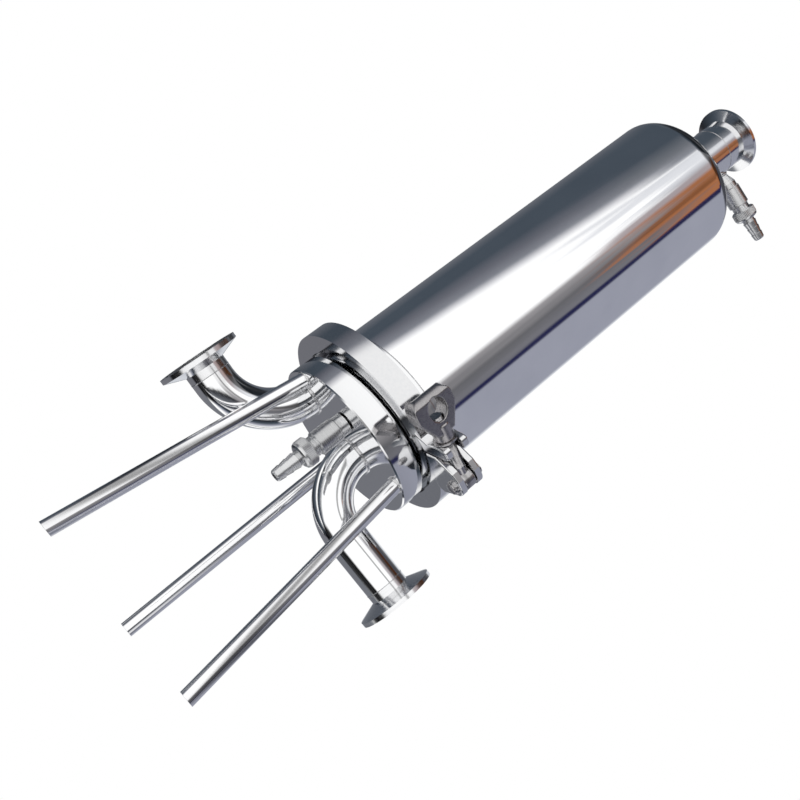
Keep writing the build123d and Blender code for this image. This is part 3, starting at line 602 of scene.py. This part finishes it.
bolt_angle = math.radians(-58)
bolt_circle_r = 78.4 * MM
pivot_offset = 20.8 * MM
hinge_circle_r = 73.0 * MM
clamp_height = 189.3897 * MM
bolt_out = Vector((math.cos(bolt_angle), math.sin(bolt_angle), 0))
bolt_along = Vector((-math.sin(bolt_angle), math.cos(bolt_angle), 0)) * -1
clamp_level = Vector((0, 0, clamp_height))
pivot_place = bolt_out * bolt_circle_r - bolt_along * pivot_offset + clamp_level
hinge_place = bolt_out * -hinge_circle_r + clamp_level
upward = (0, 0, 1)
sideways = (1, 0, 0)

swing_bolt = make_swing_bolt()
settle(swing_bolt, "threaded_swing_bolt", pivot_place, bolt_along, upward, "bolt",
       make_cast("bolt_steel", rough=0.16))
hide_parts("swing_bolt")
nut_steel = make_cast("nut_steel", rough=0.24, low=(0.40, 0.385, 0.39), high=(0.47, 0.455, 0.46))
nut_cell = 0.42 * MM
nut_smoothing = 6
soften_casting("wing_nut", "cast_wing_nut", nut_cell, nut_smoothing, "nut", nut_steel)

rivet_steel = make_cast("rivet_steel", rough=0.12)
rivet_height = 0.9 * MM
rivet_sink = 0.15
# Middle, half length and head radius in millimetres, name
pins = ((pivot_place, 10.0, 3.7, "pivot"), (hinge_place, 8.1, 3.5, "hinge"))
for side, label in ((1, "upper"), (-1, "lower")):
    for place, half, radius, name in pins:
        head = make_rivet(radius * MM, rivet_height)
        level = place + Vector((0, 0, side * (half - rivet_sink) * MM))
        settle(head, name + "_rivet_" + label, level, (0, 0, side), sideways, "vessel",
               rivet_steel)

base_height = 163.0 * MM
vent_standoff = 23.0 * MM
drain_root = Vector(drain_centre) + Vector((0, 0, base_height))
vent_along = Vector((math.cos(vent_turn), math.sin(vent_turn), 0))
vent_root = vent_along * vent_standoff + Vector(vent_centre)
knurl_r = 8.62 * MM
knurl_length = 6.2 * MM
knurl_ridges = 56
knurl_height = 0.28 * MM
knurl_shoulder = 0.7 * MM
knurl_reach = 29.3 * MM
knurl_rough = 0.3
stem_thread_r = 6.55 * MM
stem_thread_depth = 0.5 * MM
stem_pitch = 1.0 * MM
stem_thread_start = 22.3 * MM
stem_thread_end = 25.9 * MM
stem_thread_rough = 0.16
for valve, root, along, across, plug in (
    ("drain", drain_root, Vector((0, 0, -1)), sideways, "drain_plug"),
    ("vent", vent_root, vent_along, upward, "vent_plug"),
):
    centre, turn = valve_place[valve]
    knurl_steel = make_turned(valve + "_knurl_steel", centre, turn, knurl_rough, satin_low, satin_high)
    knurl = make_knurl(knurl_r, knurl_length, knurl_ridges, knurl_height, knurl_shoulder)
    settle(knurl, valve + "_knurl", root + along * knurl_reach, along, across, plug,
           knurl_steel, 20)
    thread = wind_thread(stem_thread_r, stem_thread_depth, stem_pitch, stem_thread_start, stem_thread_end)
    settle(thread, valve + "_thread", root, along, across, plug,
           make_turned(valve + "_thread_steel", centre, turn, stem_thread_rough))

weld_steel = make_cast("weld_steel", rough=0.16, low=(0.62, 0.615, 0.62), high=(0.74, 0.74, 0.745))
inlet_away = Vector((math.cos(inlet_turn), math.sin(inlet_turn), 0))
inlet_reach = 43.75 * MM
outlet_reach = 81.75 * MM
inlet_mouth = Vector(inlet_centre) + inlet_away * inlet_reach
outlet_mouth = Vector(outlet_centre) + Vector((outlet_reach, 0, 0))
root_level = 162.7 * MM
vent_weld_back = 4.7 * MM
# Place, ring radius and bead radius in millimetres, ripples, middle, axis and side
welds = [
    ("inlet_root", 13.1, 0.8, 30, (-37.0 * MM, 0, root_level), upward, sideways),
    ("outlet_root", 13.1, 0.8, 30, (10.0 * MM, 0, root_level), upward, sideways),
    ("neck_root", 18.5, 0.7, 40, (0, 0, 501.0 * MM), upward, sideways),
    ("barrel_seam", 50.66, 0.34, 90, (0, 0, 205.2 * MM), upward, sideways),
    ("inlet_seam", 12.6, 0.3, 40, inlet_mouth, inlet_away, upward),
    ("outlet_seam", 12.6, 0.3, 40, outlet_mouth, sideways, upward),
    ("port_seam", 17.9, 0.3, 48, (0, 0, 532.5 * MM), upward, sideways),
    ("vent_root", 4.3, 0.7, 14, vent_root - vent_along * vent_weld_back, vent_along, upward),
]
leg_lean = math.radians(6.65)
leg_circle_r = 47.4
leg_weld_level = 162.6
for leg, degrees in (("left", 204.0), ("right", 324.0), ("back", 84.0)):
    turn = math.radians(degrees)
    root = Vector((leg_circle_r * math.cos(turn), leg_circle_r * math.sin(turn), leg_weld_level)) * MM
    down = (math.sin(leg_lean) * math.cos(turn), math.sin(leg_lean) * math.sin(turn), -math.cos(leg_lean))
    welds.append(("leg_root_" + leg, 5.3, 0.7, 16, root, down, (-math.sin(turn), math.cos(turn), 0)))
for place, radius, bead, ripples, origin, along, across in welds:
    weld = make_weld(radius * MM, bead * MM, ripples)
    settle(weld, "weld_" + place, origin, along, across, "vessel", weld_steel, 60)


# Studio: what the polished steel mirrors
def build_studio():
    """A white surround for the camera and a soft studio in the reflections.

    The studio is a ring of tones round the vessel: a broad window in front,
    a dark wall on the left, a slate table on the right and light behind.
    """
    world = bpy.data.worlds.new("studio")
    bpy.context.scene.world = world
    world.use_nodes = True
    tree = world.node_tree
    tree.nodes.clear()
    links = tree.links
    coords = tree.nodes.new("ShaderNodeTexCoord")
    split = tree.nodes.new("ShaderNodeSeparateXYZ")
    links.new(coords.outputs["Generated"], split.inputs[0])
    turn = add_math(tree, "ARCTAN2", split.outputs[1], split.outputs[0])
    turn = add_math(tree, "DIVIDE", turn, 2 * math.pi)
    turn = add_math(tree, "ADD", turn, 0.25)
    turn = add_math(tree, "FRACT", turn)
    rise = add_math(tree, "ARCSINE", split.outputs[2])
    window_slant = 2.3
    upright_rise = math.radians(34)
    lowest_lean = -0.04
    lean = add_math(tree, "SUBTRACT", rise, upright_rise)
    lean = add_math(tree, "DIVIDE", lean, 2 * math.pi)
    lean = add_math(tree, "MAXIMUM", lean, lowest_lean)
    lean = add_math(tree, "MULTIPLY", lean, window_slant)
    window_sides = ((0.985, 0.94), (0.62, 0.76))
    for upright, slanted in window_sides:
        side = tree.nodes.new("ShaderNodeMapRange")
        side.interpolation_type = "SMOOTHSTEP"
        side.inputs["From Min"].default_value = upright
        side.inputs["From Max"].default_value = slanted
        links.new(turn, side.inputs["Value"])
        lean = add_math(tree, "MULTIPLY", lean, side.outputs[0])
    turn = add_math(tree, "SUBTRACT", turn, lean)
    folds_across = 30.0
    folds_along = 3.5
    fold_place = tree.nodes.new("ShaderNodeCombineXYZ")
    links.new(add_math(tree, "MULTIPLY", turn, folds_across), fold_place.inputs[0])
    links.new(add_math(tree, "MULTIPLY", rise, folds_along), fold_place.inputs[1])
    folds = tree.nodes.new("ShaderNodeTexNoise")
    folds.inputs["Scale"].default_value = 1.0
    folds.inputs["Detail"].default_value = 3.0
    folds.inputs["Roughness"].default_value = 0.6
    links.new(fold_place.outputs[0], folds.inputs["Vector"])
    fold_height = add_math(tree, "SUBTRACT", folds.outputs[0], 0.5)
    fold_band = tree.nodes.new("ShaderNodeValToRGB")
    band_points = fold_band.color_ramp.elements
    band_points[0].position = 0.045
    band_points[0].color = (0, 0, 0, 1)
    band_points[1].position = 0.075
    band_points[1].color = (1, 1, 1, 1)
    for place, share in ((0.155, 1.0), (0.166, 0.06), (0.9, 0.1)):
        point = band_points.new(place)
        point.color = (share, share, share, 1)
    links.new(turn, fold_band.inputs["Fac"])
    fold_reach = 0.05
    fold_share = add_math(tree, "MULTIPLY", fold_band.outputs["Color"], fold_reach)
    turn = add_math(tree, "MULTIPLY_ADD", fold_height, fold_share, turn)

    def ring(stops):
        """Tones round the ring; stops are (degrees from -90, grey or colour)."""
        ramp = tree.nodes.new("ShaderNodeValToRGB")
        points = ramp.color_ramp.elements
        while len(points) > 1:
            points.remove(points[-1])
        for index, (degrees, tone) in enumerate(stops):
            place = (degrees + 90) / 360
            point = points[0] if index == 0 else points.new(place)
            point.position = place
            point.color = (*tone, 1)
        links.new(turn, ramp.inputs["Fac"])
        return ramp.outputs["Color"]

    white = (1.0, 1.0, 1.0)
    pale = (0.62, 0.64, 0.68)
    slate = (0.29, 0.30, 0.36)
    grey = (0.15, 0.16, 0.18)
    dark = (0.055, 0.07, 0.09)
    black = (0.012, 0.012, 0.015)
    ink = (0.015, 0.016, 0.06)
    rose = (0.36, 0.31, 0.32)
    warm = (0.36, 0.14, 0.06)
    low_ring = ring([
        (-90, white), (-76, white), (-70, (0.3, 0.29, 0.3)), (-52, (0.12, 0.12, 0.13)),
        (-36, (0.16, 0.16, 0.18)), (-31, ink), (-27, ink), (-24, slate), (58, slate), (72, pale), (86, pale),
        (95, grey), (125, (0.1, 0.11, 0.13)), (150, dark), (185, dark), (205, (0.12, 0.125, 0.15)),
        (222, (0.2, 0.21, 0.24)), (229, (0.6, 0.6, 0.63)), (236, white), (270, white),
    ])
    under_ring = ring([
        (-90, white), (-70, white), (-66, black), (-48, grey), (-30, white), (-12, (0.7, 0.7, 0.72)),
        (-8, black), (14, dark), (30, slate), (52, white), (64, white), (68, grey), (104, (0.17, 0.17, 0.19)),
        (112, black), (134, dark), (150, grey), (163, white), (182, white), (186, black), (206, dark),
        (226, grey), (240, white), (270, white),
    ])
    high_ring = ring([
        (-90, (0.72, 0.73, 0.76)), (-83, (0.5, 0.5, 0.53)), (-78, rose), (-73, rose), (-68, warm),
        (-52, (0.2, 0.075, 0.03)), (-48, warm), (-35, warm), (-32, ink), (-28, ink), (-25, slate),
        (58, slate), (74, pale), (84, pale),
        (95, grey), (120, (0.1, 0.11, 0.13)), (150, dark), (190, dark), (215, (0.15, 0.16, 0.18)),
        (229, (0.24, 0.25, 0.28)), (236, (0.66, 0.67, 0.7)), (252, (0.72, 0.73, 0.76)),
        (270, (0.72, 0.73, 0.76)),
    ])
    edge_wave = 0.5
    wavy_rise = add_math(tree, "MULTIPLY_ADD", fold_height, edge_wave, rise)

    def stack(below, above, start, end, source):
        """One ring's tones over another's, between two angles of rise."""
        lift = tree.nodes.new("ShaderNodeMapRange")
        lift.inputs["From Min"].default_value = math.radians(start)
        lift.inputs["From Max"].default_value = math.radians(end)
        lift.interpolation_type = "SMOOTHSTEP"
        links.new(source, lift.inputs["Value"])
        mixed = tree.nodes.new("ShaderNodeMix")
        mixed.data_type = "RGBA"
        links.new(lift.outputs[0], mixed.inputs["Factor"])
        links.new(below, mixed.inputs["A"])
        links.new(above, mixed.inputs["B"])
        return mixed.outputs["Result"]

    tones = stack(under_ring, low_ring, -12, 2, rise)
    tones = stack(tones, high_ring, 34, 40, wavy_rise)
    shades = tree.nodes.new("ShaderNodeValToRGB")
    shade_points = shades.color_ramp.elements
    while len(shade_points) > 1:
        shade_points.remove(shade_points[-1])
    level_tones = [
        (-90, 0.04), (-74, 0.04), (-66, 1.0), (9, 1.0), (11.5, 0.3), (15, 0.3), (18, 1.0),
        (50, 1.0), (58, 0.2), (76, 0.16), (90, 0.3),
    ]
    for index, (degrees, share) in enumerate(level_tones):
        place = (degrees + 90) / 180
        point = shade_points[0] if index == 0 else shade_points.new(place)
        point.position = place
        point.color = (share, share, share, 1)
    links.new(add_math(tree, "MULTIPLY_ADD", rise, 1 / math.pi, 0.5), shades.inputs["Fac"])
    shaded = tree.nodes.new("ShaderNodeMix")
    shaded.data_type = "RGBA"
    shaded.blend_type = "MULTIPLY"
    shaded.inputs["Factor"].default_value = 1.0
    links.new(tones, shaded.inputs["A"])
    links.new(shades.outputs["Color"], shaded.inputs["B"])
    tones = shaded.outputs["Result"]
    mirrored = tree.nodes.new("ShaderNodeBackground")
    mirrored.inputs["Strength"].default_value = 1.15
    links.new(tones, mirrored.inputs["Color"])
    plain = tree.nodes.new("ShaderNodeBackground")
    plain.inputs["Color"].default_value = (1, 1, 1, 1)
    plain.inputs["Strength"].default_value = 0.8
    seen = tree.nodes.new("ShaderNodeBackground")
    seen.inputs["Color"].default_value = (1, 1, 1, 1)
    seen.inputs["Strength"].default_value = 1.0
    path = tree.nodes.new("ShaderNodeLightPath")
    first = tree.nodes.new("ShaderNodeMixShader")
    links.new(path.outputs["Is Glossy Ray"], first.inputs["Fac"])
    links.new(plain.outputs[0], first.inputs[1])
    links.new(mirrored.outputs[0], first.inputs[2])
    second = tree.nodes.new("ShaderNodeMixShader")
    links.new(path.outputs["Is Camera Ray"], second.inputs["Fac"])
    links.new(first.outputs[0], second.inputs[1])
    links.new(seen.outputs[0], second.inputs[2])
    output = tree.nodes.new("ShaderNodeOutputWorld")
    links.new(second.outputs[0], output.inputs["Surface"])


def build_floor():
    """A pale floor that is clear from below, where the camera is."""
    clear_selection()
    bpy.ops.mesh.primitive_plane_add(size=6.0, location=(0, 0, 0))
    floor = bpy.context.active_object
    floor.name = "floor"
    material = bpy.data.materials.new("pale_floor")
    material.use_nodes = True
    tree = material.node_tree
    shader = tree.nodes["Principled BSDF"]
    shader.inputs["Base Color"].default_value = (0.86, 0.86, 0.87, 1)
    shader.inputs["Roughness"].default_value = 0.7
    clear = tree.nodes.new("ShaderNodeBsdfTransparent")
    side = tree.nodes.new("ShaderNodeNewGeometry")
    path = tree.nodes.new("ShaderNodeLightPath")
    mix = tree.nodes.new("ShaderNodeMixShader")
    unseen = add_math(tree, "MAXIMUM", side.outputs["Backfacing"], path.outputs["Is Glossy Ray"])
    tree.links.new(unseen, mix.inputs["Fac"])
    tree.links.new(shader.outputs[0], mix.inputs[1])
    tree.links.new(clear.outputs[0], mix.inputs[2])
    tree.links.new(mix.outputs[0], tree.nodes["Material Output"].inputs["Surface"])
    floor.data.materials.append(material)


def add_soft_light(name, place, aim, size, power):
    """A large soft lamp that points at a place."""
    data = bpy.data.lights.new(name, "AREA")
    data.shape = "SQUARE"
    data.size = size
    data.energy = power
    lamp = bpy.data.objects.new(name, data)
    bpy.context.collection.objects.link(lamp)
    lamp.location = place
    lamp.rotation_euler = (Vector(aim) - Vector(place)).to_track_quat("-Z", "Y").to_euler()
    lamp.visible_glossy = False


def add_camera():
    """The camera at the photograph's place, rolled as the photograph is."""
    camera_place = Vector((4.6, -569.3, -5.9)) * MM
    camera_turn = math.radians(3.21)
    camera_rise = math.radians(22.52)
    camera_roll = math.radians(50.34)
    data = bpy.data.cameras.new("camera")
    data.sensor_width = 36.0
    data.lens = 43.18
    data.shift_x = -0.0737
    data.shift_y = 0.0307
    data.clip_start = 0.01
    camera = bpy.data.objects.new("camera", data)
    bpy.context.collection.objects.link(camera)
    facing = Matrix.Rotation(-camera_turn, 4, "Z") @ Matrix.Rotation(quarter + camera_rise, 4, "X")
    camera.matrix_world = Matrix.Translation(camera_place) @ facing @ Matrix.Rotation(camera_roll, 4, "Z")
    bpy.context.scene.camera = camera


key_place = (-0.6, -1.4, 1.6)
key_aim = (0, 0, 0.25)
key_size = 1.2
key_power = 14

build_studio()
build_floor()
add_soft_light("key", key_place, key_aim, key_size, key_power)
add_camera()
bpy.context.scene.view_settings.view_transform = "Standard"
